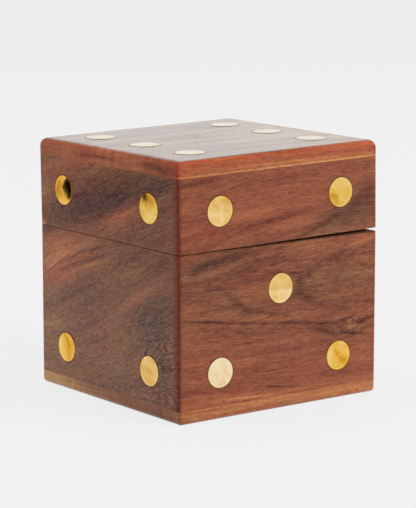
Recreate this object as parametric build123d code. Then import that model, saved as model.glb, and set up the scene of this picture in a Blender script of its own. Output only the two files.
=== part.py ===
from build123d import *

import os
from math import asin, atan2, degrees, hypot

# A wooden box in the shape of a die, with brass pips and a lid on two butt hinges.
# Millimetres. The origin is the middle of the underside. The five-pip front faces -Y,
# the four-pip side faces -X, the hinges are on the +X side, and Z is up.

# The box
WIDTH = 80.0  # along X, across the five-pip front
DEPTH = 78.4  # along Y
BASE_HEIGHT = 53.7  # underside to the base's rim
LID_HEIGHT = 28.9  # the lid's rim to its top
WALL = 8.0
BOTTOM_BOARD = 4.3  # the board glued across the underside of the walls
TOP_BOARD = 5.2  # the board glued across the top of the lid's walls
CORNER_R = 1.3  # the four upright corners
TOP_EDGE_R = 2.4
BOTTOM_EDGE_R = 1.4
RIM_EDGE_R = 0.3  # both rims are only eased

# The pips, which are brass discs let into the wood
PIP_R = 4.9
PIP_DEPTH = 1.2  # how deep a disc is let in
PIP_PROUD = 0.12  # how far it stands out of the face
PIP_EDGE_R = 0.1
PIP_GLUE = 0.05  # round a disc in its recess
UNDERSIDE_PIP_SUNK = 0.2  # the box stands on wood, so this pip lies below the surface
PIP_INSET = 15.8  # from an outer pip's centre to the edges of the box and of the lid
LOW_PIP_HEIGHT = 14.7  # the bottom row of pips above the underside
MIDDLE_PIP_HEIGHT = 39.3  # the centre pip of the front and right faces above the underside

# The hinges, whose leaves lie on the rims without mortises, so they prop the lid's right side
HINGE_Y = 17.5  # from the middle of the box to the middle of each hinge
HINGE_LENGTH = 20.0
LEAF_THICKNESS = 0.5
LEAF_REACH = 7.0  # from the box's right face inwards over the rim
LEAF_CORNER_R = 0.8
LEAF_GAP = 0.2  # between the two leaves when they are parallel
KNUCKLES = 5
KNUCKLE_R = 1.5
KNUCKLE_STANDOFF = 0.2  # between the knuckles and the box's right face
KNUCKLE_GAP = 0.1  # end to end between two knuckles
KNUCKLE_SWEEP = 0.15  # round a knuckle, where the other leaf is notched for it
PIN_R = 0.75
PIN_CLEARANCE = 0.03
PIN_HEAD_R = 1.1  # the peened ends
PIN_HEAD = 0.4
PIN_END_PLAY = 0.05
RIM_CONTACT = 0.03  # left between the rims where the closed lid touches down

# The hinge screws, countersunk and slotted
SCREW_R = 0.8
SCREW_HEAD_R = 1.4
SCREW_HEAD_HEIGHT = 0.45
SCREW_HEAD_SUNK = 0.05  # below the leaf's face
SCREW_LENGTH = 6.0
SCREW_POINT = 1.2
SCREW_POINT_R = 0.2
SCREW_SLOT_WIDTH = 0.35
SCREW_SLOT_DEPTH = 0.3
SCREW_SPREAD = 6.0  # from the middle of the leaf to each screw
SCREW_CLEARANCE = 0.03  # in the leaf's countersink and in the wood
PILOT_SPARE = 0.3  # the pilot hole past the screw's point
SLOT_TURNS = (20, 75, 140, 50)  # how the slots happen to lie, in degrees

HINGES = {"front": -HINGE_Y, "back": HINGE_Y}
LOWER_KNUCKLES = range(0, KNUCKLES, 2)
UPPER_KNUCKLES = range(1, KNUCKLES, 2)

SPARE = 5.0  # how far a cutting tool runs on past the wood

# Where the hinges put the lid. Level, it would stand on both leaves. It tips about the
# pins until its left rim meets the base's rim, and that is its closed position.
HALF_WIDTH = WIDTH / 2
HALF_DEPTH = DEPTH / 2
PIN_X = HALF_WIDTH + KNUCKLE_STANDOFF + KNUCKLE_R
HALF_FOLD = LEAF_THICKNESS + LEAF_GAP / 2  # from the pins' axis to either rim
PIN_Z = BASE_HEIGHT + HALF_FOLD
LID_Z = PIN_Z + HALF_FOLD  # the level lid's rim
CONTACT_X = PIN_X + HALF_WIDTH - RIM_EDGE_R  # from the pins' axis to where the rims meet
CLOSED_TIP = degrees(
    atan2(HALF_FOLD, CONTACT_X) + asin((HALF_FOLD - RIM_CONTACT) / hypot(CONTACT_X, HALF_FOLD))
)
PIN_AXIS = Pos(PIN_X, 0, PIN_Z)
CLOSED = PIN_AXIS * Rot(0, -CLOSED_TIP, 0) * PIN_AXIS.inverse()

# Each pip was marked out and set by hand, so it strays a little from its place in the
# pattern. The pairs are along the face and up it, or along X and Y on the top.
COLUMN_X = HALF_WIDTH - PIP_INSET
COLUMN_Y = HALF_DEPTH - PIP_INSET
LID_ROW = LID_Z + LID_HEIGHT - PIP_INSET
BASE_PIPS = {
    "base_front_pip_middle": ("front", 0, MIDDLE_PIP_HEIGHT, (-0.3, 0.0)),
    "base_front_pip_left": ("front", -COLUMN_X, LOW_PIP_HEIGHT, (-0.1, 0.3)),
    "base_front_pip_right": ("front", COLUMN_X, LOW_PIP_HEIGHT, (-0.4, -0.4)),
    "base_left_pip_back": ("left", COLUMN_Y, LOW_PIP_HEIGHT, (0.7, -0.4)),
    "base_left_pip_front": ("left", -COLUMN_Y, LOW_PIP_HEIGHT, (0.5, 0.0)),
    "base_back_pip": ("back", COLUMN_X, LOW_PIP_HEIGHT, (0.2, 0.1)),
    "base_right_pip_middle": ("right", 0, MIDDLE_PIP_HEIGHT, (0.1, -0.2)),
    "base_right_pip_low": ("right", -COLUMN_Y, LOW_PIP_HEIGHT, (-0.2, 0.2)),
    "base_underside_pip": ("underside", 0, 0, (0.2, -0.1)),
}
LID_PIPS = {
    "lid_front_pip_left": ("front", -COLUMN_X, LID_ROW, (-0.1, -0.8)),
    "lid_front_pip_right": ("front", COLUMN_X, LID_ROW, (0.2, 0.2)),
    "lid_left_pip_back": ("left", COLUMN_Y, LID_ROW, (1.4, -0.1)),
    "lid_left_pip_front": ("left", -COLUMN_Y, LID_ROW, (0.2, -0.3)),
    "lid_back_pip": ("back", -COLUMN_X, LID_ROW, (-0.1, 0.2)),
    "lid_right_pip": ("right", COLUMN_Y, LID_ROW, (0.2, -0.1)),
    "lid_top_pip_left_back": ("top", -COLUMN_X, COLUMN_Y, (-0.3, 2.0)),
    "lid_top_pip_left_middle": ("top", -COLUMN_X, 0, (0.1, 0.8)),
    "lid_top_pip_left_front": ("top", -COLUMN_X, -COLUMN_Y, (0.2, 0.0)),
    "lid_top_pip_right_back": ("top", COLUMN_X, COLUMN_Y, (1.7, 1.0)),
    "lid_top_pip_right_middle": ("top", COLUMN_X, 0, (1.6, 0.6)),
    "lid_top_pip_right_front": ("top", COLUMN_X, -COLUMN_Y, (1.7, 1.0)),
}


def side_frame(side, along, up):
    """The plane on a face of the box with its middle at a place on that face, facing out."""
    origin, outward = {
        "front": ((along, -HALF_DEPTH, up), (0, -1, 0)),
        "back": ((along, HALF_DEPTH, up), (0, 1, 0)),
        "left": ((-HALF_WIDTH, along, up), (-1, 0, 0)),
        "right": ((HALF_WIDTH, along, up), (1, 0, 0)),
        "top": ((along, up, LID_Z + LID_HEIGHT), (0, 0, 1)),
        "underside": ((along, up, 0), (0, 0, -1)),
    }[side]
    return Plane(origin=origin, z_dir=outward)


def standing(shape, bottom):
    """A cylinder, cone or disc moved so that its lower end is at the given height."""
    return Pos(0, 0, bottom) * shape


def rounded_block(height, bottom_edge_r, top_edge_r):
    """The outside of the base or the lid, standing on Z = 0."""
    block = Box(WIDTH, DEPTH, height, align=(Align.CENTER, Align.CENTER, Align.MIN))
    block = fillet(block.edges().filter_by(Axis.Z), CORNER_R)
    block = fillet(block.faces().sort_by(Axis.Z)[-1].edges(), top_edge_r)
    return fillet(block.faces().sort_by(Axis.Z)[0].edges(), bottom_edge_r)


def corners(inset):
    """The four upright corners in plan, in order, moved in from the box's sides."""
    x = HALF_WIDTH - inset
    y = HALF_DEPTH - inset
    return [(-x, -y), (x, -y), (x, y), (-x, y)]


def walls(block, bottom, height):
    """The four walls cut from a block, which meet in mitres at the upright corners."""
    outer = corners(0)
    inner = corners(WALL)
    pieces = {}
    for i, side in enumerate(("front", "right", "back", "left")):
        following = (i + 1) % 4
        plan = Polygon(outer[i], outer[following], inner[following], inner[i], align=None)
        pieces[side] = block & Pos(0, 0, bottom) * extrude(plan, height)
    return pieces


def board(block, bottom, thickness):
    """The slice of a block between two heights."""
    slab = Box(WIDTH + SPARE, DEPTH + SPARE, thickness, align=(Align.CENTER, Align.CENTER, Align.MIN))
    return block & Pos(0, 0, bottom) * slab


def add_pips(nodes, pips, carriers):
    """Make each pip and cut its recess in the wall or board that carries it."""
    flat = (Align.CENTER, Align.CENTER, Align.MIN)
    for name, (side, along, up, strayed) in pips.items():
        place = side_frame(side, along + strayed[0], up + strayed[1])
        proud = -UNDERSIDE_PIP_SUNK if side == "underside" else PIP_PROUD
        disc = standing(Cylinder(PIP_R, PIP_DEPTH + proud, align=flat), -PIP_DEPTH)
        disc = fillet(disc.edges().sort_by(Axis.Z)[-1], PIP_EDGE_R)
        recess = standing(Cylinder(PIP_R + PIP_GLUE, PIP_DEPTH + SPARE, align=flat), -PIP_DEPTH)
        nodes[name] = place * disc
        nodes[carriers[side]] = nodes[carriers[side]] - place * recess


def screw_places():
    """The four screws of the two leaves on one rim, as X and Y."""
    return [
        (HALF_WIDTH - LEAF_REACH / 2, hinge_y + spread)
        for hinge_y in HINGES.values()
        for spread in (-SCREW_SPREAD, SCREW_SPREAD)
    ]


def screw(turn):
    """A countersunk screw whose head ends at Z = 0, with its point down."""
    top = (Align.CENTER, Align.CENTER, Align.MAX)
    head = Cone(SCREW_R, SCREW_HEAD_R, SCREW_HEAD_HEIGHT, align=top)
    shank = Pos(0, 0, -SCREW_HEAD_HEIGHT) * Cylinder(SCREW_R, SCREW_LENGTH, align=top)
    point = Cone(SCREW_POINT_R, SCREW_R, SCREW_POINT, align=top)
    point = Pos(0, 0, -SCREW_HEAD_HEIGHT - SCREW_LENGTH) * point
    slot = Rot(0, 0, turn) * Box(4 * SCREW_HEAD_R, SCREW_SLOT_WIDTH, 2 * SCREW_SLOT_DEPTH)
    return head + shank + point - slot


def screws(head_z, facing):
    """The four screws of one rim, with the ends of their heads at one height."""
    turns = zip(screw_places(), SLOT_TURNS)
    return Compound([Pos(x, y, head_z) * facing * screw(turn) for (x, y), turn in turns])


def pilot_hole():
    """The hole in the wood for one screw, from the rim at Z = 0 downwards."""
    depth = SCREW_LENGTH + SCREW_POINT + PILOT_SPARE
    hole = Cylinder(SCREW_R + SCREW_CLEARANCE, depth, align=(Align.CENTER, Align.CENTER, Align.MAX))
    mouth = Cylinder(SCREW_R + SCREW_CLEARANCE, SPARE, align=(Align.CENTER, Align.CENTER, Align.MIN))
    return hole + mouth


def knuckle(index, radius, gap):
    """One knuckle's cylinder about the pins' axis, counted from the front end of a hinge."""
    pitch = HINGE_LENGTH / KNUCKLES
    middle = (index + 0.5) * pitch - HINGE_LENGTH / 2
    return Pos(0, middle, 0) * Rot(90, 0, 0) * Cylinder(radius, pitch - gap)


def leaf(own, other):
    """The lower leaf of a hinge, about the pins' axis at X = Z = 0, reaching to -X."""
    reach = PIN_X - HALF_WIDTH + LEAF_REACH
    plate = Box(reach, HINGE_LENGTH, LEAF_THICKNESS, align=(Align.MAX, Align.CENTER, Align.MAX))
    plate = Pos(0, 0, -LEAF_GAP / 2) * plate
    plate = fillet(plate.edges().filter_by(Axis.Z).group_by(Axis.X)[0], LEAF_CORNER_R)
    for index in other:
        plate -= knuckle(index, KNUCKLE_R + KNUCKLE_SWEEP, -KNUCKLE_GAP)
    for index in own:
        plate += knuckle(index, KNUCKLE_R, KNUCKLE_GAP)
    plate -= Rot(90, 0, 0) * Cylinder(PIN_R + PIN_CLEARANCE, HINGE_LENGTH + SPARE)
    top = (Align.CENTER, Align.CENTER, Align.MAX)
    hole_r = SCREW_R + SCREW_CLEARANCE
    sink_r = SCREW_HEAD_R + SCREW_CLEARANCE
    hole = Cylinder(hole_r, SPARE, align=top) + Cylinder(sink_r, SCREW_HEAD_SUNK, align=top)
    hole += Pos(0, 0, -SCREW_HEAD_SUNK) * Cone(hole_r, sink_r, SCREW_HEAD_HEIGHT, align=top)
    for y in (-SCREW_SPREAD, SCREW_SPREAD):
        plate -= Pos(LEAF_REACH / 2 - reach, y, -LEAF_GAP / 2) * hole
    return plate


def pin():
    """A hinge pin along Y, peened over at both ends so that it can't slide out."""
    length = HINGE_LENGTH + 2 * PIN_END_PLAY
    body = Rot(90, 0, 0) * Cylinder(PIN_R, length)
    for end in (-1, 1):
        body += Pos(0, end * (length + PIN_HEAD) / 2, 0) * Rot(90, 0, 0) * Cylinder(PIN_HEAD_R, PIN_HEAD)
    return body


def make_base():
    """The base's walls, bottom board and pips, as they stand."""
    block = rounded_block(BASE_HEIGHT, BOTTOM_EDGE_R, RIM_EDGE_R)
    pieces = walls(block, BOTTOM_BOARD, BASE_HEIGHT - BOTTOM_BOARD)
    nodes = {f"base_{side}_wall": piece for side, piece in pieces.items()}
    nodes["base_bottom_board"] = board(block, 0, BOTTOM_BOARD)
    for x, y in screw_places():
        nodes["base_right_wall"] -= Pos(x, y, BASE_HEIGHT) * pilot_hole()
    carriers = {side: f"base_{side}_wall" for side in pieces}
    carriers["underside"] = "base_bottom_board"
    add_pips(nodes, BASE_PIPS, carriers)
    return nodes


def make_lid():
    """The lid's walls, top board and pips, as they lie when the lid is level."""
    block = Pos(0, 0, LID_Z) * rounded_block(LID_HEIGHT, RIM_EDGE_R, TOP_EDGE_R)
    wall_height = LID_HEIGHT - TOP_BOARD
    pieces = walls(block, LID_Z, wall_height)
    nodes = {f"lid_{side}_wall": piece for side, piece in pieces.items()}
    nodes["lid_top_board"] = board(block, LID_Z + wall_height, TOP_BOARD)
    for x, y in screw_places():
        nodes["lid_right_wall"] -= Pos(x, y, LID_Z) * Rot(180, 0, 0) * pilot_hole()
    carriers = {side: f"lid_{side}_wall" for side in pieces}
    carriers["top"] = "lid_top_board"
    add_pips(nodes, LID_PIPS, carriers)
    return nodes


def make_base_hardware():
    """The lower leaves with their pins and screws."""
    nodes = {}
    for name, y in HINGES.items():
        nodes[f"{name}_hinge_base_leaf"] = PIN_AXIS * Pos(0, y, 0) * leaf(LOWER_KNUCKLES, UPPER_KNUCKLES)
        nodes[f"{name}_hinge_pin"] = PIN_AXIS * Pos(0, y, 0) * pin()
    head_z = BASE_HEIGHT + LEAF_THICKNESS - SCREW_HEAD_SUNK
    nodes["base_hinge_screws"] = screws(head_z, Rot(0, 0, 0))
    return nodes


def make_lid_hardware():
    """The upper leaves and their screws, as they lie when the lid is level."""
    nodes = {}
    upper_leaf = mirror(leaf(UPPER_KNUCKLES, LOWER_KNUCKLES), Plane.XY)
    for name, y in HINGES.items():
        nodes[f"{name}_hinge_lid_leaf"] = PIN_AXIS * Pos(0, y, 0) * upper_leaf
    head_z = LID_Z - LEAF_THICKNESS + SCREW_HEAD_SUNK
    nodes["lid_hinge_screws"] = screws(head_z, Rot(180, 0, 0))
    return nodes


def main():
    nodes = make_base() | make_base_hardware()
    for name, shape in (make_lid() | make_lid_hardware()).items():
        nodes[name] = CLOSED * shape
    os.makedirs("parts", exist_ok=True)
    for name, shape in nodes.items():
        export_step(shape, f"parts/{name}.step")
    print(f"{len(nodes)} nodes; pins at X {PIN_X:.3f} Z {PIN_Z:.3f}")
    print(f"the closed lid tips {CLOSED_TIP:.4f} degrees")


main()
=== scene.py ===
from math import cos, radians, sin

import bpy
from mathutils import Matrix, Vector


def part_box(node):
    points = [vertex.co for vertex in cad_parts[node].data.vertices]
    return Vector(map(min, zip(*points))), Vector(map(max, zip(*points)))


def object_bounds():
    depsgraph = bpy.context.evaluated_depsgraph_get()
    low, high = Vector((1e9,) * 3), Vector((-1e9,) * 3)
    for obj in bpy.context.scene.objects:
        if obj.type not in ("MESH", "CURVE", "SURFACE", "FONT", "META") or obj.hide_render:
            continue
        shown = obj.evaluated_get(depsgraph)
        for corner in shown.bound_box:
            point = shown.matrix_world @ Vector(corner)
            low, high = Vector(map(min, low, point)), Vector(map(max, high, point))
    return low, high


# A wooden box in the shape of a die, with brass pips and a lid on two brass hinges. Every
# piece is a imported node, which keeps its mesh and gets its finish here. Metres, except in
# the materials, whose fields and patches are in millimetres.

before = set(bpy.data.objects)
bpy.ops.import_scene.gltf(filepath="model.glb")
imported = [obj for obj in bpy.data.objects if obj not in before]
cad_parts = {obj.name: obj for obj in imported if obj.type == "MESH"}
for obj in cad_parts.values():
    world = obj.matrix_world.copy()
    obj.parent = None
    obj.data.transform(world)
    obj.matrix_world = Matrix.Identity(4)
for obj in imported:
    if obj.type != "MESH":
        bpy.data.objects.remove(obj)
CAD_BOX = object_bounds()
MM = 0.001
TO_MM = 1000.0

# ---------------------------------------------------------------- sizes, from the frame


def extent(node, corner, axis):
    """One coordinate of a node's box in millimetres. Corner 0 is the lowest and 1 the highest."""
    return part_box(node)[corner][axis] * TO_MM


def half_width(node, axis):
    """Half of a node's size along one axis, in millimetres."""
    return (extent(node, 1, axis) - extent(node, 0, axis)) / 2


def middle(node):
    """The middle of a node's box, in millimetres."""
    low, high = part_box(node)
    return (low + high) / 2 * TO_MM


LEFT_X = extent("base_left_wall", 0, 0)
RIGHT_X = extent("base_right_wall", 1, 0)
FRONT_Y = extent("base_front_wall", 0, 1)
BACK_Y = extent("base_back_wall", 1, 1)
WALL = extent("base_front_wall", 1, 1) - FRONT_Y
RIM_Z = extent("base_left_wall", 1, 2)

# How each side is seen: the sign and axis of u, which runs to the right, and the axis of v,
# which runs up. The walls are seen from outside, the top and the underside from above.
SIDES = {
    "front": (1, 0, 2),
    "left": (-1, 1, 2),
    "right": (1, 1, 2),
    "back": (-1, 0, 2),
    "top": (1, 0, 1),
    "underside": (1, 0, 1),
}
# Each wall's outer face: the axis across it, its place on that axis, and which way is inwards.
OUTER_FACES = {
    "front": (1, FRONT_Y, 1),
    "left": (0, LEFT_X, 1),
    "right": (0, RIGHT_X, -1),
    "back": (1, BACK_Y, -1),
}


def seen_flat(side, place):
    """The u and v of a place on one side, from its x, y and z."""
    sign, across, up = SIDES[side]
    return place[across] * sign, place[up]


def side_of(pip):
    """The side that a pip is on, which is the second word of its name."""
    return pip.split("_")[1]


def pips_on(side):
    """The pips of one side as (u, v, radius)."""
    up = SIDES[side][2]
    nodes = [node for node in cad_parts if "_pip" in node and side_of(node) == side]
    return [(*seen_flat(side, middle(node)), half_width(node, up)) for node in nodes]


# ---------------------------------------------------------------- colours


def linear(code):
    """A colour written as six hex digits, as the linear numbers that a shader takes."""
    channels = [int(code[i : i + 2], 16) / 255 for i in (0, 2, 4)]
    light = [c / 12.92 if c <= 0.04045 else ((c + 0.055) / 1.055) ** 2.4 for c in channels]
    return (*light, 1.0)


# ---------------------------------------------------------------- node graphs


class Field:
    """A number that varies over a surface. Arithmetic on it adds Math nodes to its graph."""

    def __init__(self, graph, socket):
        self.graph = graph
        self.socket = socket

    def __add__(self, other):
        return self.graph.math("ADD", self, other)

    def __radd__(self, other):
        return self.graph.math("ADD", other, self)

    def __sub__(self, other):
        return self.graph.math("SUBTRACT", self, other)

    def __rsub__(self, other):
        return self.graph.math("SUBTRACT", other, self)

    def __mul__(self, other):
        return self.graph.math("MULTIPLY", self, other)

    def __abs__(self):
        return self.graph.math("ABSOLUTE", self)


class Graph:
    """The nodes of one material, or of the world."""

    def __init__(self, owner):
        owner.use_nodes = True
        self.owner = owner
        self.tree = owner.node_tree
        self.tree.nodes.clear()

    def add(self, kind, inputs, **settings):
        """A new node, with its settings and inputs. An input is a constant, a field or a socket."""
        node = self.tree.nodes.new(kind)
        for key, value in settings.items():
            setattr(node, key, value)
        for key, value in inputs.items():
            value = value.socket if isinstance(value, Field) else value
            if isinstance(value, bpy.types.NodeSocket):
                self.tree.links.new(value, node.inputs[key])
            else:
                node.inputs[key].default_value = value
        return node

    def math(self, operation, *values):
        node = self.add("ShaderNodeMath", dict(enumerate(values)), operation=operation)
        return Field(self, node.outputs[0])

    def most(self, first, *others):
        """The greatest of several values."""
        for other in others:
            first = self.math("MAXIMUM", first, other)
        return first

    def length(self, *sides):
        """The length of a line, from its extent along each axis."""
        first, *others = (side * side for side in sides)
        return self.math("SQRT", sum(others, first))

    def position(self):
        """Where a point lies at rest, as three fields in millimetres. It moves with its body."""
        place = self.add("ShaderNodeTexCoord", {}).outputs["Object"]
        scaled = self.add("ShaderNodeVectorMath", {0: place, 3: TO_MM}, operation="SCALE")
        parts = self.add("ShaderNodeSeparateXYZ", {0: scaled.outputs[0]})
        return [Field(self, socket) for socket in parts.outputs]

    def upwards(self):
        """How far the surface faces up at rest: 1 upwards, 0 sideways and -1 downwards."""
        facing = self.add("ShaderNodeTexCoord", {}).outputs["Normal"]
        parts = self.add("ShaderNodeSeparateXYZ", {0: facing})
        return Field(self, parts.outputs["Z"])

    def noise(self, place, lump, detail=2.0, roughness=0.5, distortion=0.0, shift=0):
        """Smooth noise, about 0.5. A lump is its size along each coordinate of the place, and the
        shift sets two noises of one place apart."""
        x, y, z = (value * (1 / size) for value, size in zip(place, lump))
        z = z + shift if shift else z
        vector = self.add("ShaderNodeCombineXYZ", {0: x, 1: y, 2: z}).outputs[0]
        inputs = {"Vector": vector, "Scale": 1.0, "Detail": detail, "Roughness": roughness}
        inputs["Distortion"] = distortion
        return Field(self, self.add("ShaderNodeTexNoise", inputs).outputs[0])

    def step(self, value, low, high):
        """0 below low and 1 above high, with a smooth rise between them."""
        inputs = {"Value": value, "From Min": low, "From Max": high}
        node = self.add("ShaderNodeMapRange", inputs, interpolation_type="SMOOTHSTEP")
        return Field(self, node.outputs["Result"])

    def bell(self, value, centre, width):
        """1 where value is centre, falling away on both sides over width."""
        offset = self.math("MULTIPLY_ADD", value, 1 / width, -centre / width)
        return self.math("EXPONENT", offset * offset * -1)

    def smudge(self, u, v, place, size, angle=0):
        """1 in the middle of an oval patch, falling away to its edge. The angle is anticlockwise."""
        c = cos(radians(angle))
        s = sin(radians(angle))
        length, width = size
        middle_u, middle_v = place
        along = self.math("MULTIPLY_ADD", u, c / length, -(middle_u * c + middle_v * s) / length)
        along = self.math("MULTIPLY_ADD", v, s / length, along)
        over = self.math("MULTIPLY_ADD", u, -s / width, (middle_u * s - middle_v * c) / width)
        over = self.math("MULTIPLY_ADD", v, c / width, over)
        return self.math("EXPONENT", self.math("MULTIPLY_ADD", along, along, over * over) * -1)

    def patched(self, u, v, start, patches):
        """A field with oval patches added to it. A patch is place, size, angle and strength."""
        total = start
        for place, size, angle, strength in patches:
            total = self.smudge(u, v, place, size, angle) * strength + total
        return total

    def ramp(self, value, stops):
        """A colour for each value, from (value, hex colour) pairs."""
        node = self.add("ShaderNodeValToRGB", {0: value})
        elements = node.color_ramp.elements
        for place, _ in stops[1:-1]:
            elements.new(place)
        for element, (place, code) in zip(elements, stops):
            element.position = place
            element.color = linear(code)
        return node.outputs[0]

    def mix(self, amount, under, over, blend="MIX"):
        """One colour over another, by an amount from 0 to 1. A colour is a socket or hex digits."""
        under, over = (linear(c) if isinstance(c, str) else c for c in (under, over))
        inputs = {0: amount, 6: under, 7: over}
        node = self.add("ShaderNodeMix", inputs, data_type="RGBA", blend_type=blend)
        return node.outputs[2]

    def finish(self, colour, roughness, relief, height, **constants):
        """The surface shader. Relief is a field and height is what 1 in it stands for, in
        millimetres."""
        bump = self.add("ShaderNodeBump", {"Height": relief, "Distance": height * MM, "Strength": 1.0})
        inputs = {"Base Color": colour, "Roughness": roughness, "Normal": bump.outputs[0]}
        shader = self.add("ShaderNodeBsdfPrincipled", inputs | constants)
        self.add("ShaderNodeOutputMaterial", {0: shader.outputs[0]})
        return self.owner


def material_graph(name):
    return Graph(bpy.data.materials.new(name))


def give(node, material):
    """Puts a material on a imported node."""
    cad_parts[node].material_slots[0].material = material


# ---------------------------------------------------------------- wood

WOOD_TONES = (
    (0.0, "220C08"),
    (0.2, "461B11"),
    (0.38, "6D3423"),
    (0.5, "8A4A31"),
    (0.68, "AB6340"),
    (0.85, "C68350"),
    (1.0, "DBA06A"),
)
# The colour of the painted shading and reddish sheen beside the upright corners.
CORNER_SHEEN_RED = "7A3220"
PIP_RING_BROWN = "7A4212"
# Dark brown for the pores, and for the painted shade along the lid's seam.
PORE_AND_SEAM_SHADE = "2A130C"
BARE_WOOD = "A87A56"
WOOD_RELIEF = 0.02  # millimetres
WAX_GLOSS = {"Specular IOR Level": 0.1, "Coat Roughness": 0.12}
WAX_IOR = 1.25
RING_GAP = 0.12  # from a pip's edge to the middle of the dark line round it, in millimetres
RING_WIDTH = 0.26
FINE_FLECK = 0.08  # how strongly the finest flecks show on the front and on the boards

# The place of a point in the wood is along the grain, across it and its depth.


def grain(graph, place):
    """Streaks, fibres and thin dark veins along the wood, about 0, and the fibres for the relief."""
    broad = graph.noise(place, (60, 5.0, 9), roughness=0.6)
    streaks = graph.noise(place, (22, 1.4, 3), detail=3.0, roughness=0.7, distortion=0.6)
    fibres = graph.noise(place, (4.0, 0.55, 1), roughness=0.8, distortion=0.3)
    vein = graph.noise(place, (26, 3.2, 6), shift=20)
    value = (broad - 0.5) * 0.36 + (streaks - 0.5) * 0.2 + (fibres - 0.5) * 0.32
    return value - graph.bell(vein, 0.5, 0.025) * 0.06, fibres


def tinted(graph, colour, place, hue, variety):
    """Patches of redder and of yellower wood. Hue is how much redder it is by its figure, and
    variety how much the patches differ."""
    red = graph.noise(place, (14, 2.0, 5), detail=3.0, roughness=0.6, shift=40) - 0.5
    yellow = graph.noise(place, (12, 1.7, 5), detail=3.0, roughness=0.6, shift=80) - 0.5
    red = red * variety + hue
    channels = {
        "Red": red * 0.1 + 1,
        "Green": red * -0.16 + 1,
        "Blue": red * -0.16 + yellow * variety * -0.3 + 1,
    }
    tint = graph.add("ShaderNodeCombineColor", channels).outputs[0]
    return graph.mix(1.0, colour, tint, "MULTIPLY")


def pores(graph, place):
    """Short dark dashes along the grain."""
    return graph.step(graph.noise(place, (2.2, 0.3, 0.5), detail=1.0), 0.58, 0.72)


def fuzz(graph, place):
    """The finest flecks, a few millimetres long."""
    return graph.noise(place, (3.0, 0.36, 0.36), roughness=0.8)


def pip_rings(graph, u, v, side):
    """1 on the thin dark line round each pip of a side, and 0 away from it."""
    rings = 0.0
    for pip_u, pip_v, radius in pips_on(side):
        distance = graph.length(u - pip_u, v - pip_v)
        rings = graph.most(rings, graph.bell(distance, radius + RING_GAP, RING_WIDTH))
    return rings


def wood_finish(graph, colour, fibres, place, bare, dull, fleck=FINE_FLECK, wax_ior=WAX_IOR):
    """Waxed wood, with no wax where bare is 1 and less of it where dull is more than 0. Fleck is
    how strongly the finest flecks show."""
    holes = pores(graph, place)
    flecks = fuzz(graph, place)
    colour = graph.mix(fleck, colour, flecks.socket, "LINEAR_LIGHT")
    colour = graph.mix(holes * 0.4, colour, PORE_AND_SEAM_SHADE)
    colour = graph.mix(bare * 0.3, colour, BARE_WOOD)
    relief = fibres * 0.6 + flecks * 0.3 - holes * 0.6
    rubbed = graph.noise(place, (30, 3, 9), roughness=0.6, shift=60)
    wax = 0.93 + (fibres - 0.5) * 0.45 + (rubbed - 0.5) * 0.9 - holes * 0.2
    coat = graph.most(wax * (1 - bare) * (1 - dull), 0.0)
    shine = WAX_GLOSS | {"Coat Weight": coat, "Coat IOR": wax_ior}
    return graph.finish(colour, 0.3 + bare * 0.6, relief, WOOD_RELIEF, **shine)


def arches(graph, u, v, axis, round_r, lean, start):
    """Growth rings cut lengthwise: nested arches about a level axis, opening to the right. Round_r
    is the radius of their tips, and lean is how fast they open beyond start."""
    off = v - axis
    level = 1 - graph.step(abs(off), 12.0, 34.0) * 0.62
    return graph.length(off, round_r) - (u - start) * lean * level


def sway(graph, u, v, amount, length, height):
    """A slow wander of the grain across its run."""
    return (graph.noise((u, v, 0.0), (length, height, 1)) - 0.5) * amount


# ---------------------------------------------------------------- the walls' figures

# The patches of a wall lie by u and v. Those of its tone make the wood paler, or darker where
# the strength is below 0, and those of its red make it redder, or greyer and greener. They are
# added to the wall's plain tone and red.
FRONT_PLAIN_TONE = 0.53
FRONT_PLAIN_RED = 0.0
LEFT_PLAIN_TONE = 0.56
LEFT_PLAIN_RED = -1.0

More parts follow.
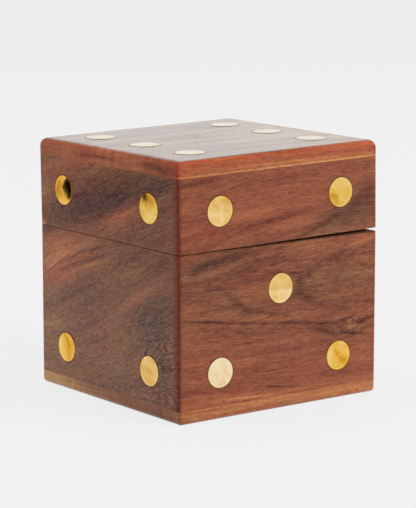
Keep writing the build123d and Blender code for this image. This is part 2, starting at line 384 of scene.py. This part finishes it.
FRONT_TONE = (
    # lid
    ((-33, 75.6), (10, 0.9), 5, -0.16),
    ((-10, 64.0), (10, 1.6), 8, 0.08),
    ((-1, 61.9), (13, 0.9), 8, -0.1),
    ((11, 56.3), (8, 0.9), 18, -0.12),
    ((21.5, 60.0), (9, 2.0), 18, -0.12),
    ((34, 65.0), (9, 4), 24, -0.1),
    ((32, 59.5), (11, 3.5), 8, -0.05),
    ((36, 69), (3.5, 3.5), 0, -0.08),
    ((1, 59.6), (11, 1.2), 8, 0.1),
    ((-31, 65), (6, 4), 0, -0.05),
    ((-18, 65.5), (6, 3), 0, 0.04),
    ((-8, 58), (14, 3.5), 4, -0.08),
    ((31, 73), (8, 4), 0, -0.05),
    # base
    ((-35, 47.8), (6, 1.3), 30, -0.08),
    ((-24, 50.7), (9, 1.0), 8, -0.09),
    ((-12, 52.0), (8, 0.9), 6, -0.07),
    ((-15, 46.0), (5, 0.9), 4, -0.12),
    ((-25.5, 41.8), (6, 0.8), -4, -0.12),
    ((-20, 50), (22, 3), 0, -0.07),
    ((-34, 46.5), (8, 2.0), 28, -0.08),
    ((-6, 50), (10, 3), 8, -0.06),
    ((-26, 42), (14, 3.5), -4, 0.03),
    ((-8, 34), (28, 3), -3, -0.06),
    ((18, 26), (6, 4), 0, -0.05),
    ((33, 13), (9, 8), 0, 0.06),
    ((-30, 34), (8, 4), 0, -0.05),
    ((18, 18), (8, 4), 0, -0.04),
    ((31, 49.5), (8, 4), 0, 0.06),
    ((-18, 36.8), (5, 1.0), -35, -0.1),
    ((-9, 32.6), (9, 0.9), -12, -0.11),
    ((-30, 31.8), (9, 0.5), -9, -0.16),
    ((-14, 29.6), (9, 0.5), -8, -0.18),
    ((3, 27.8), (9, 0.5), -6, -0.2),
    ((17, 25.8), (8, 0.35), -6, -0.2),
    ((7.5, 39), (2.2, 3.2), -10, -0.11),
    ((12, 43.2), (5, 1.4), 32, -0.08),
    ((22, 46.2), (5, 1.2), 5, -0.09),
    ((33, 46.9), (8, 0.6), -2, -0.09),
    ((12, 34.4), (8, 1.5), -26, -0.09),
    ((32, 31.4), (8, 0.6), -4, -0.08),
    ((25, 30), (5, 1.5), -10, -0.08),
    ((29, 34.2), (10, 0.9), 2, 0.08),
    ((35, 51.2), (6, 0.6), 10, 0.1),
    ((22, 40), (20, 9), 0, -0.08),
    ((-20, 42), (24, 10), 0, -0.02),
    ((0, 5.4), (70, 1.0), 0, 0.1),
    ((-21, 6.0), (12, 0.5), -3, 0.2),
    ((-8, 5.1), (10, 0.6), -3, 0.15),
    ((18, 23.0), (5, 0.7), -20, -0.17),
    ((30, 20.9), (6, 0.4), -6, -0.22),
    ((27, 26.2), (4, 0.4), 8, -0.2),
    ((29, 23.2), (2.2, 0.5), 20, 0.17),
    ((36, 25.0), (4.5, 0.8), 12, -0.19),
    ((37, 22.4), (4, 0.5), 6, -0.14),
    ((-25, 7.6), (20, 0.6), -3, 0.1),
    ((0, 7.2), (10, 0.35), -8, -0.19),
)
FRONT_RED = (
    ((0, 38), (60, 14), 0, -0.85),
    ((21, 40), (16, 6), 2, -0.6),
    ((30, 60), (12, 5), 8, -1.3),
    ((-28, 60), (18, 4), 5, 0.4),
    ((-24, 50), (20, 4), 6, -0.6),
    ((30, 23), (9, 4), 0, -0.8),
    ((-10, 40), (6, 7), 0, 0.6),
    ((-28, 50), (14, 2.5), 12, -0.8),
    ((-17, 35.5), (8, 2.5), -30, -0.7),
    ((18, 58.0), (13, 3), 20, -0.9),
    ((33, 66), (7, 5), 20, -0.6),
)
# The place and size of the knot, and the height and the reach of the grain that spreads.
KNOT = ((29, 23), (6, 3))
SPREAD_V = 40
SPREAD_RISE = 7


def front_figure(graph, u, v):
    """Grain that spreads to the right from the middle of the base, and a small knot. Rise is how far
    it has climbed at the right, and is below 0 where it has dropped."""
    rise = graph.step(v, 34.0, 58.0) - graph.step(v, SPREAD_V, 24.0) * 0.4
    rise = rise * (1 - graph.step(abs(v - SPREAD_V), 12.0, 34.0) * 0.6) * SPREAD_RISE
    knot = graph.smudge(u, v, *KNOT)
    across = v - rise * graph.step(u, -50.0, 20.0) + sway(graph, u, v, 1.8, 22, 6)
    across = across + knot * 2 + sway(graph, u, v, 5.0, 5, 2.5) * knot
    whorl = graph.noise((u, v, 5.0), (5, 2.2, 1), detail=1.0)
    start = FRONT_PLAIN_TONE - graph.bell(whorl, 0.5, 0.05) * knot * 0.24
    tone = graph.patched(u, v, start, FRONT_TONE)
    return u, across, tone, graph.patched(u, v, FRONT_PLAIN_RED, FRONT_RED)


LEFT_TONE = (
    # lid
    ((0, 70), (60, 9), 0, -0.06),
    ((-17, 60.5), (17, 5), 16, -0.17),
    ((0.4, 63.2), (17, 1.3), 21, -0.09),
    ((1.6, 59.8), (17, 1.3), 21, 0.07),
    ((-28, 59), (12, 4.5), 0, -0.03),
    ((4, 69.5), (20, 4.5), 20, -0.17),
    ((28, 74), (10, 3), 16, -0.16),
    ((-22, 75.0), (16, 3), 16, 0.15),
    ((-8, 76.4), (10, 0.5), 24, -0.12),
    ((6, 62), (16, 2.8), 20, 0.14),
    ((24, 67), (9, 0.5), 30, 0.1),
    ((28, 63), (9, 0.5), 26, 0.08),
    ((16, 56), (14, 1.6), 4, -0.07),
    ((-37, 67), (5, 7), 0, 0.13),
    ((-6, 57.5), (8, 2.5), 14, -0.1),
    ((7, 67.5), (8, 3), 20, -0.07),
    ((26, 65), (10, 5), 20, -0.06),
    # a pale chip in its lower back corner
    ((-37.4, 54.4), (1.7, 0.6), -15, 0.4),
    # base
    ((33, 47), (8, 14), 0, -0.1),
    ((16, 50), (12, 3.5), 0, -0.08),
    ((-34, 20), (10, 16), 0, 0.09),
    ((-30, 44.6), (14, 5.5), 24, 0.27),
    ((-12, 50.6), (14, 1.2), 22, 0.12),
    ((-30, 41.2), (8, 0.35), 30, -0.26),
    ((-19, 45.8), (8, 0.45), 26, -0.28),
    ((-8, 49.4), (6, 0.5), 14, -0.2),
    ((-22, 42.2), (9, 0.5), 20, -0.2),
    ((-17, 44.6), (9, 0.5), 22, 0.12),
    ((-10, 44.0), (12, 0.6), 18, 0.12),
    ((-36, 52.5), (5, 1.3), 10, -0.12),
    ((-9, 45.9), (9, 0.5), 18, -0.2),
    ((-35, 44), (6, 0.3), 26, -0.14),
    ((-27, 37.0), (15, 1.4), 26, 0.12),
    ((-10, 32), (26, 9), 20, -0.08),
    ((8, 31.5), (10, 1.4), 31, 0.06),
    ((17, 37.5), (15, 1.6), 31, 0.12),
    ((-28, 5.6), (20, 1.8), 0, 0.1),
    ((32, 46.5), (5, 1.8), 30, 0.08),
    ((-5, 25), (10, 0.5), 30, 0.12),
    ((-30, 20), (12, 6), 20, 0.06),
    ((-2, 14), (14, 5), 10, 0.05),
    ((-18, 14), (10, 9), 0, 0.05),
    ((24, 30), (12, 8), 20, -0.12),
    ((30, 14), (6, 10), 10, -0.13),
    ((10, 26), (12, 4), 0, 0.05),
)
LEFT_RED = (
    ((-28, 45.5), (18, 7), 24, 1.4),
    ((-22, 75), (18, 3), 16, 1.3),
    ((-37.4, 54.4), (2, 1), 0, 0.3),
    ((-18, 65), (18, 4.5), 16, 0.4),
    ((-28, 58.5), (14, 5), 0, -0.4),
    ((10, 71), (20, 4), 20, -0.6),
    ((6, 62), (20, 3), 20, 1.3),
    ((24, 28), (14, 16), 0, -0.9),
    ((30, 76), (9, 6), 0, -0.8),
    ((-24, 40), (18, 3), 25, 1.0),
    ((17, 37.5), (16, 2.2), 31, 0.7),
    ((8, 11), (18, 7), 0, -0.4),
    ((-34, 16), (14, 16), 0, -0.6),
)
# The place and size of the curl, and the middle of the rings that its ripples follow.
CURL = ((24, 23), (12, 16))
RIPPLE_CENTRE = (46, 8)


def left_figure(graph, u, v):
    """Bands that rise to the right across the lid and the base, and rippled wood that curls round
    the lower pip at the right."""
    slope = 0.52 - graph.step(v, 20.0, 56.0) * 0.16
    level = graph.step(v, 34.0, 0.0) * 0.3
    curl = graph.smudge(u, v, *CURL)
    across = v - u * slope + (u - 10) * level - curl * 4 + sway(graph, u, v, 2.4, 24, 7)
    across = across + sway(graph, u, v, 5.0, 7, 4) * curl
    centre_u, centre_v = RIPPLE_CENTRE
    outwards = graph.length(u - centre_u, v - centre_v)
    ripples = graph.noise((outwards, v, 0.0), (1.3, 12, 1), detail=1.0) - 0.5
    tone = graph.patched(u, v, ripples * curl * 0.5 + LEFT_PLAIN_TONE, LEFT_TONE)
    return u + v * 0.4, across, tone, graph.patched(u, v, LEFT_PLAIN_RED, LEFT_RED)


def plain_figure(axis, round_r, lean, start, tone):
    """A quiet version of the arches, for the sides without a figure of their own."""

    def figure(graph, u, v):
        rings = arches(graph, u, v, axis, round_r, lean, start)
        across = rings + sway(graph, u, v, 2.0, 24, 9)
        return u, across, tone + graph.bell(rings, 12.0, 1.0) * -0.2, 0.0

    return figure


# ---------------------------------------------------------------- walls

# Each wall's figure, how much its hue varies and how strongly its finest flecks show.
WALLS = {
    "front": (front_figure, 1.3, FINE_FLECK),
    "left": (left_figure, 4.5, 0.3),
    "right": (plain_figure(axis=30.0, round_r=6.0, lean=0.2, start=-45.0, tone=0.5), 1.4, 0.05),
    "back": (plain_figure(axis=58.0, round_r=8.0, lean=0.16, start=-30.0, tone=0.46), 1.4, 0.05),
}
# How far in from a corner the painted corner shading starts and where it is at its darkest, in
# millimetres.
STRIP = (1.4, 0.4)
NEAR_LEFT_STRIP = (4.6, 1.6)
GLUE_INSET = 0.85
# How level a wall is where its rim starts to show and where it is all rim.
RIM_FROM = (0.7, 0.95)
# How far short of the inner face the bare wood starts and where it is all bare, in millimetres.
BARE_INSIDE = (0.6, 0.2)


def wall_place(graph, side):
    """The u, v and depth of a point in a wall. Depth runs inwards from the outer face."""
    place = graph.position()
    axis, outer, inwards = OUTER_FACES[side]
    return *seen_flat(side, place), (place[axis] - outer) * inwards


def painted_corner_sheen(graph, side, u):
    """Painted shading and reddish sheen beside the upright corners: darker, redder colour where the
    rounded corner turns. At the left side's near end it is wider.
    """
    half = RIGHT_X if side in ("front", "back") else BACK_Y
    strip = graph.step(abs(u), *(half - inset for inset in STRIP)) * 0.35
    if side == "left":
        near = graph.step(u, *(half - inset for inset in NEAR_LEFT_STRIP)) * 0.85
        strip = graph.most(strip, near)
    return strip


def seam_shade_and_glue_line(graph, side, u, v):
    """Painted shade along the seam where the lid meets the base, and the line of glue in the left
    side's near corner.
    """
    if side != "left":
        return graph.bell(v, RIM_Z, 0.3) * 0.6
    seam = graph.bell(v, RIM_Z, 0.25) * 0.3
    glue = graph.bell(u, BACK_Y - GLUE_INSET, 0.35) * 0.35
    return graph.most(seam, glue)


def wall_wood(side, figure, variety, fleck):
    """One wall's wood, bare on the rims and inside, with painted shading and sheen beside its corners.
    The left side has less wax towards its top, and its flecks are weaker there and in the painted
    corner shading."""
    graph = material_graph(f"{side}_wood")
    u, v, depth = wall_place(graph, side)
    along, across, tone, hue = figure(graph, u, v)
    place = (along, across, depth)
    value, fibres = grain(graph, place)
    colour = tinted(graph, graph.ramp(value + tone, WOOD_TONES), place, hue, variety)
    strip = painted_corner_sheen(graph, side, u)
    rings = pip_rings(graph, u, v, side)
    # Painted shading and reddish sheen beside the corners, as darker, redder colour.
    colour = graph.mix(strip, colour, CORNER_SHEEN_RED)
    # Painted shade along the seam, and the glue line on the left, in the pores' dark brown.
    colour = graph.mix(seam_shade_and_glue_line(graph, side, u, v), colour, PORE_AND_SEAM_SHADE)
    colour = graph.mix(rings * 0.95, colour, PIP_RING_BROWN)
    rim = graph.step(abs(graph.upwards()), *RIM_FROM)
    inside = graph.step(depth, *(WALL - inset for inset in BARE_INSIDE))
    dull = graph.most(rings, strip * 0.8)
    if side == "left":
        dull = graph.most(dull, graph.step(v, 30.0, 62.0) * 0.45)
        fleck = (fleck - graph.step(v, 10.0, 60.0) * 0.16) * (1 - strip * 0.7)
    return wood_finish(graph, colour, fibres, place, graph.most(rim, inside), dull, fleck)


def finish_walls():
    for side, look in WALLS.items():
        material = wall_wood(side, *look)
        for part in ("base", "lid"):
            give(f"{part}_{side}_wall", material)


# ---------------------------------------------------------------- boards

# Round the edge of a board the place of a patch is x less y and the height: the left back
# corner is at about -80, the near one at 0 and the right front one at 80.
TOP_EDGE = (
    ((-20, 80), (8, 5), 0, -0.1),
    ((-8, 79), (6, 4), 0, -0.14),
    ((-41.5, 79.9), (8, 0.5), -2, -0.14),
    ((-66, 79), (16, 1.2), 3, 0.06),
    ((-74, 81), (8, 1.4), 0, -0.06),
    ((-25, 80.6), (9, 0.8), 5, 0.16),
    ((-24, 78.5), (6, 0.7), 0, 0.12),
    ((-14, 80.0), (6, 0.9), -8, -0.14),
    ((-8, 78.4), (8, 1.0), 0, -0.08),
    ((-50, 79.6), (16, 0.4), 2, -0.12),
    ((-53, 80), (4, 3), 0, -0.05),
    ((79.5, 80.5), (2.5, 3), 0, -0.14),
    ((40, 81), (50, 1.2), 0, -0.08),
    # The next three pale thin lines, tilted with the lid, are a painted highlight along the lower edge
    # of the board's front.
    ((14, 77.9), (18, 0.35), 0.8, 0.12),
    ((40, 78.25), (20, 0.35), 0.8, 0.12),
    ((68, 78.65), (16, 0.35), 0.8, 0.26),
    ((50, 79.6), (50, 0.5), 0.8, 0.07),
    ((30, 78.7), (22, 0.3), 0.8, -0.1),
)
TOP_EDGE_RED = (
    ((-4, 80), (4, 6), 0, 1.5),
    ((40, 78.8), (60, 1.2), 0.8, -0.8),
    ((-53, 80), (4, 3), 0, 0.8),
)
BOTTOM_EDGE = (
    ((-80, 2), (18, 6), 0, 0.3),
    ((-66, 2.6), (14, 0.4), 3, -0.12),
    ((-54, 1.6), (12, 0.35), 1, -0.1),
    ((-44, 3.4), (12, 0.35), 2, -0.1),
    ((-26, 2), (22, 6), 0, -0.12),
    ((30, 1.5), (20, 0.4), 1, -0.12),
    ((10, 3.4), (16, 0.4), -1, -0.12),
    ((-64, 2), (16, 6), 0, 0.1),
    ((-10, 2), (8, 6), 0, -0.1),
)
BOTTOM_EDGE_RED = (((-24, 2), (26, 6), 0, -0.5),)
# On the top the place of a patch is x and y.
TOP_FACE = (
    ((40, -10), (26, 60), 0, 0.14),
    ((16, 23.5), (8, 2.5), -25, -0.5),
    ((-16, -8), (20, 9), 0, 0.06),
)


class TopBoard:
    """How the lid's board looks. Axis is the y of its arches' axis, and bare_side is which way its
    bare inner side faces: 1 is up and -1 is down."""

    outer_side = "top"
    bare_side = -1
    wax_ior = 1.48
    axis = 6.0
    contrast = 1.5
    face_tone = 0.55
    face_hue = -2.0
    face_patches = TOP_FACE
    edge_tone = 0.68
    edge_hue = 0.5
    edge_dull = 0.92
    edge_patches = TOP_EDGE
    edge_red = TOP_EDGE_RED


class BottomBoard:
    """How the base's board looks, in the same terms."""

    outer_side = "underside"
    bare_side = 1
    wax_ior = WAX_IOR
    axis = -12.0
    contrast = 1.0
    face_tone = 0.6
    face_hue = 0.0
    face_patches = ()
    edge_tone = 0.77
    edge_hue = -0.1
    edge_dull = 0.15
    edge_patches = BOTTOM_EDGE
    edge_red = BOTTOM_EDGE_RED


# How level a board's surface is where its flat face starts to show and where it is all face.
FLAT_FROM = (0.88, 0.995)


def blended(amount, first, second):
    """The first value where the amount is 0 and the second where it is 1."""
    return first + (second - first) * amount


def edge_wood(graph, board, round_edge, x, z):
    """The value, fibres and hue of the wood round a board's edge, with upright marks on the left."""
    across = z * 1.6 + sway(graph, round_edge, z, 4.0, 30, 9)
    value, fibres = grain(graph, (round_edge, across, 0.0))
    on_left = graph.step(x, LEFT_X + 3, LEFT_X + 1)
    marks = graph.noise((round_edge, z, 3.0), (2.5, 12, 1), detail=1.0) - 0.5
    value = graph.patched(round_edge, z, value + board.edge_tone, board.edge_patches)
    hue = graph.patched(round_edge, z, board.edge_hue - on_left * 0.2, board.edge_red)
    return value + marks * on_left * 0.25, fibres, hue


def worn_border(graph, x, y):
    """How much wax is rubbed off a flat face: about half of it at the border and none further in."""
    inwards = graph.math("MINIMUM", RIGHT_X - abs(x), BACK_Y - abs(y))
    inwards = inwards + sway(graph, x, y, 3.0, 16, 16)
    return 0.55 - graph.step(inwards, 1.0, 4.5) * 0.55


def board_wood(name, board):
    """A board's wood: its flat faces, and the grain that runs round its edge. Where the edge turns
    over into the face it is painted redder, for how the rounded edge takes the light."""
    graph = material_graph(name)
    x, y, z = graph.position()
    facing = graph.upwards()
    level = abs(facing)
    flat = graph.step(level, *FLAT_FROM)
    bare = graph.step(facing * board.bare_side, *FLAT_FROM)
    round_edge = x - y
    across = arches(graph, x, y, board.axis, 6.0, 0.1, -60.0) + sway(graph, x, y, 2.0, 40, 9)
    face_value, face_fibres = grain(graph, (x, across, z))
    face_value = graph.patched(x, y, face_value * board.contrast, board.face_patches)
    edge_value, edge_fibres, edge_hue = edge_wood(graph, board, round_edge, x, z)
    value = blended(flat, edge_value, face_value + board.face_tone)
    fibres = blended(flat, edge_fibres, face_fibres)
    # Painted light: redder where the rounded edge turns over into the face.
    painted_edge_red = graph.bell(level, 0.7, 0.25) * 0.5
    hue = blended(flat, edge_hue, (1 - bare) * board.face_hue) + painted_edge_red
    place = (round_edge, across, z)
    colour = tinted(graph, graph.ramp(value, WOOD_TONES), place, hue, 1.4)
    rings = pip_rings(graph, x, y, board.outer_side) * flat
    colour = graph.mix(rings * 0.7, colour, PIP_RING_BROWN)
    dull = graph.most(rings, worn_border(graph, x, y) * flat, (1 - flat) * board.edge_dull)
    return wood_finish(graph, colour, fibres, place, bare, dull, wax_ior=board.wax_ior)


def finish_boards():
    give("lid_top_board", board_wood("top_wood", TopBoard))
    give("base_bottom_board", board_wood("bottom_wood", BottomBoard))


# ---------------------------------------------------------------- brass

# Each is the brass where it is dull, where it is plain and where it is rubbed pale; for the top's pips
# all three are a painted sheen.
BRASS = {
    # The top's pips: pale cream, a painted sheen for their grazing reflection.
    "top_sheen": ("DED2A0", "F0E8C4", "F8F2D8"),
    "pale": ("E8C98C", "FBE3B4", "FFF0CC"),
    "light": ("E0AE50", "F6D28A", "FBE4B0"),
    "gold": ("CC9226", "EDC25C", "F6DA92"),
    "deep": ("C88A1C", "F2B945", "F8D27C"),
}
BRASS_RIM = "9A6420"
# Each pip's kind, how much paler it is than its kind, and its paler and deeper patches, in radii from
# its middle. These tones and patches are partly the brass's own cloudiness and partly painted
# reflection of what each pip faces.
PIP_BRASS = {
    "lid_front_pip_left": (
        "light",
        -0.16,
        (((0.5, 0.7), (0.4, 0.4), 0, -0.4), ((0, -0.3), (0.5, 0.5), 0, 0.1)),
    ),
    "lid_front_pip_right": (
        "gold",
        0.05,
        (((-0.6, -0.2), (0.5, 0.3), -30, -0.5), ((0.3, 0.5), (0.6, 0.3), 0, 0.25)),
    ),
    "base_front_pip_left": ("pale", 0.0, (((0, -0.7), (0.6, 0.3), 0, -0.12),)),
    "base_front_pip_middle": ("light", 0.2, (((-0.5, -0.6), (0.5, 0.3), 0, -0.35),)),
    "base_front_pip_right": (
        "deep",
        0.1,
        (((0.3, -0.3), (0.7, 0.25), -40, -0.35), ((-0.7, 0.2), (0.3, 0.7), 0, 0.5)),
    ),
    "lid_left_pip_back": (
        "deep",
        -0.1,
        (((-0.5, 0), (0.35, 0.6), 0, -0.5), ((0, -0.8), (0.8, 0.3), 0, 0.3)),
    ),
    "lid_left_pip_front": (
        "gold",
        -0.12,
        (((0, 0.6), (0.9, 0.4), 0, -0.5), ((0.1, -0.4), (0.7, 0.6), 0, 0.25)),
    ),
    "base_left_pip_back": (
        "deep",
        0.0,
        (((0.1, 0), (0.3, 1), 10, -0.25), ((-0.7, 0), (0.3, 0.9), 0, 0.5)),
    ),
    "base_left_pip_front": ("light", -0.22, (((0.3, 0.2), (0.4, 0.5), 0, -0.2),)),
}
# This pip has a painted reflection of the floor's edge: it is darker above a level line a little below
# its middle.
HORIZON_REFLECTION_PIP = "base_front_pip_middle"
PIP_R = half_width("base_left_pip_back", 1)
PIP_ROUGHNESS = 0.025
PIP_RELIEF = 0.001  # millimetres, as is the next
HINGE_RELIEF = 0.01


def brass_colour(graph, value, kind):
    dull, plain, rubbed = BRASS[kind]
    return graph.ramp(value, ((0.0, dull), (0.5, plain), (1.0, rubbed)))


def pip_brass(node, kind, paler, patches):
    """Brass polished by hand: cloudy in tone, with fine scratches and a painted highlight in a pale
    thin ring just inside its edge.
    """
    graph = material_graph(f"{node}_brass")
    place = graph.position()
    cloud = graph.noise(place, (4, 4, 4), detail=3.0, roughness=0.6, distortion=0.8)
    scratch = graph.noise(place, (0.5, 0.5, 0.12), roughness=0.6)
    offsets = [at - centre for at, centre in zip(place, middle(node))]
    right, up = seen_flat(side_of(node), offsets)
    value = 0.5 + paler + (cloud - 0.5) * 1.4 + (scratch - 0.5) * 0.3
    # Painted reflection of the floor's edge, as a darker upper part.
    if node == HORIZON_REFLECTION_PIP:
        value = value - graph.step(up, PIP_R * -0.16, PIP_R * -0.1) * 0.35
    value = graph.patched(right * (1 / PIP_R), up * (1 / PIP_R), value, patches)
    away = graph.length(*offsets)
    # Painted highlight: a pale thin ring just inside the pip's edge.
    value = value + graph.bell(away, PIP_R - 0.4, 0.25) * 0.12
    rim = graph.step(away, PIP_R - 0.2, PIP_R) * 0.6
    colour = graph.mix(rim, brass_colour(graph, value, kind), BRASS_RIM)
    relief = cloud * 2.0 + scratch * 0.1
    return graph.finish(colour, PIP_ROUGHNESS, relief, PIP_RELIEF, Metallic=1.0)


def hinge_brass(name, dullness):
    """Pressed brass, rolled along Y and a little tarnished."""
    graph = material_graph(name)
    place = graph.position()
    cloud = graph.noise(place, (3, 3, 3), detail=3.0, roughness=0.6)
    rolled = graph.noise(place, (0.2, 8, 0.2), roughness=0.6)
    colour = brass_colour(graph, 0.45 + (cloud - 0.5) * 0.8 - dullness, "gold")
    return graph.finish(colour, 0.3 + (cloud - 0.5) * 0.3, rolled, HINGE_RELIEF, Metallic=1.0)


def finish_brass():
    leaf = hinge_brass("leaf_brass", 0.1)
    fastener = hinge_brass("fastener_brass", 0.0)
    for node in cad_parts:
        if "_pip" in node:
            # The top's pips get the painted pale sheen, the others plain gold.
            plain = ("top_sheen" if side_of(node) == "top" else "gold", 0.0, ())
            give(node, pip_brass(node, *PIP_BRASS.get(node, plain)))
        elif "_leaf" in node:
            give(node, leaf)
        elif "_pin" in node or "_screws" in node:
            give(node, fastener)


# ---------------------------------------------------------------- camera

# The photo's camera, fitted to the box's outline, seam and pips. Its place and aim are in metres
# and its lens is in millimetres.
CAMERA_AT = (-0.45482, -0.60664, 0.17803)
CAMERA_AIM = (0.000275, 0.0, 0.044691)
CAMERA_LENS = 165.03


def place_and_aim(piece, place, target):
    """Adds a camera or a lamp to the scene, at a place and turned to a target."""
    bpy.context.scene.collection.objects.link(piece)
    piece.location = place
    aim = Vector(target) - Vector(place)
    piece.rotation_euler = aim.to_track_quat("-Z", "Y").to_euler()


def make_camera():
    data = bpy.data.cameras.new("camera")
    data.lens = CAMERA_LENS
    camera = bpy.data.objects.new("camera", data)
    place_and_aim(camera, CAMERA_AT, CAMERA_AIM)
    bpy.context.scene.camera = camera


# ---------------------------------------------------------------- stage and light

BACKDROP = "F1F1F1"
FLOOR_COLOUR = "EDEDED"
FLOOR_Z = CAD_BOX[0].z  # in metres, as is the next
FLOOR_SIZE = 6.0
SEEN_BACKDROP = 0.9  # how much of the floor's look is the plain backdrop
WORLD_LIGHT = 0.5  # how brightly the backdrop lights the box
CEILING_LIGHT = 0.15  # how bright the ceiling is in a reflection
# How steeply a reflected ray climbs, as its rise over its length, where the ceiling starts and
# where it is all ceiling.
CEILING_FROM = 0.35
CEILING_FULL = 0.75
LAMP_AIM = (0, 0, 0.04)
# Each lamp's name, place, size across and power, in metres and watts.
LAMPS = (
    ("key", (0.9, -1.5, 1.1), 0.9, 22.0),
    ("overhead", (0.0, 0.2, 1.8), 1.2, 14.0),
)
# The corners of a pointed card with a short tongue, as x and y in millimetres.
CARD_OUTLINE = (
    (-281, 393),
    (-268, 375),
    (-248, 340),
    (-273, 349),
    (-289, 341),
    (-286, 332),
    (-272, 309),
    (-275, 311),
    (-302, 350),
    (-352, 418),
    (-363, 471),
)
CARD_LIFT = 0.1  # above the floor, in millimetres


def flat_piece(name, outline, height, material):
    """A level staged sheet with the corners of an outline, in metres."""
    mesh = bpy.data.meshes.new(name)
    corners = [(x, y, height) for x, y in outline]
    mesh.from_pydata(corners, [], [tuple(range(len(corners)))])
    mesh.materials.append(material)
    piece = bpy.data.objects.new(name, mesh)
    bpy.context.scene.collection.objects.link(piece)
    return piece


def seen_directly(graph):
    """1 for a ray from the camera, a reflected one and one through glass, and 0 for the others."""
    rays = graph.add("ShaderNodeLightPath", {}).outputs
    kinds = [Field(graph, rays[f"Is {kind} Ray"]) for kind in ("Camera", "Glossy", "Transmission")]
    camera, glossy, through = kinds
    return graph.math("MINIMUM", camera + glossy + through, 1.0)


def floor_material():
    """A matt white floor, which the camera sees as the pale backdrop with the box's shadow on it."""
    graph = material_graph("floor")
    lit = graph.add("ShaderNodeBsdfDiffuse", {"Color": linear(FLOOR_COLOUR)})
    pale = graph.add("ShaderNodeEmission", {"Color": linear(BACKDROP), "Strength": 1.0})
    amount = seen_directly(graph) * SEEN_BACKDROP
    mixed = graph.add("ShaderNodeMixShader", {0: amount, 1: lit.outputs[0], 2: pale.outputs[0]})
    graph.add("ShaderNodeOutputMaterial", {0: mixed.outputs[0]})
    return graph.owner


def make_floor():
    half = FLOOR_SIZE / 2
    outline = [(-half, -half), (half, -half), (half, half), (-half, half)]
    flat_piece("floor", outline, FLOOR_Z, floor_material())


def make_card():
    """A dark card on the floor, out beyond the box's left side, which the lid's left pips reflect.
    Only reflections show it."""
    graph = material_graph("card")
    cloud = graph.noise(graph.position(), (30, 30, 30), detail=3.0, roughness=0.6)
    colour = graph.ramp(cloud, ((0.3, "030201"), (0.7, "0C0A06")))
    material = graph.finish(colour, 0.8, cloud, 0.1, **{"Specular IOR Level": 0.0})
    outline = [(x * MM, y * MM) for x, y in CARD_OUTLINE]
    card = flat_piece("card", outline, FLOOR_Z + CARD_LIFT * MM, material)
    card.visible_camera = False
    card.visible_diffuse = False
    card.visible_shadow = False


def make_world():
    """Even light all round. The camera sees a pale backdrop, and reflections see it too, under a
    darker ceiling."""
    graph = Graph(bpy.data.worlds.new("studio"))
    rays = graph.add("ShaderNodeLightPath", {}).outputs
    direction = graph.add("ShaderNodeTexCoord", {}).outputs["Generated"]
    height = graph.add("ShaderNodeSeparateXYZ", {0: direction}).outputs["Z"]
    inputs = {"Value": height, "From Min": CEILING_FROM, "From Max": CEILING_FULL}
    inputs |= {"To Min": 1.0, "To Max": CEILING_LIGHT}
    reflected = graph.add("ShaderNodeMapRange", inputs).outputs["Result"]
    inputs = {"Factor": rays["Is Glossy Ray"], "A": WORLD_LIGHT, "B": reflected}
    light = graph.add("ShaderNodeMix", inputs).outputs["Result"]
    inputs = {"Factor": rays["Is Camera Ray"], "A": light, "B": 1.0}
    light = graph.add("ShaderNodeMix", inputs).outputs["Result"]
    shader = graph.add("ShaderNodeBackground", {"Color": linear(BACKDROP), "Strength": light})
    graph.add("ShaderNodeOutputWorld", {"Surface": shader.outputs["Background"]})
    bpy.context.scene.world = graph.owner


def make_lamps():
    """Soft square lamps, which reflections don't show."""
    for name, place, size, power in LAMPS:
        data = bpy.data.lights.new(name, "AREA")
        data.shape = "RECTANGLE"
        data.size = size
        data.size_y = size
        data.energy = power
        lamp = bpy.data.objects.new(name, data)
        lamp.visible_glossy = False
        place_and_aim(lamp, place, LAMP_AIM)


bpy.context.scene.view_settings.view_transform = "Standard"
make_camera()
make_floor()
make_card()
make_world()
make_lamps()
finish_walls()
finish_boards()
finish_brass()
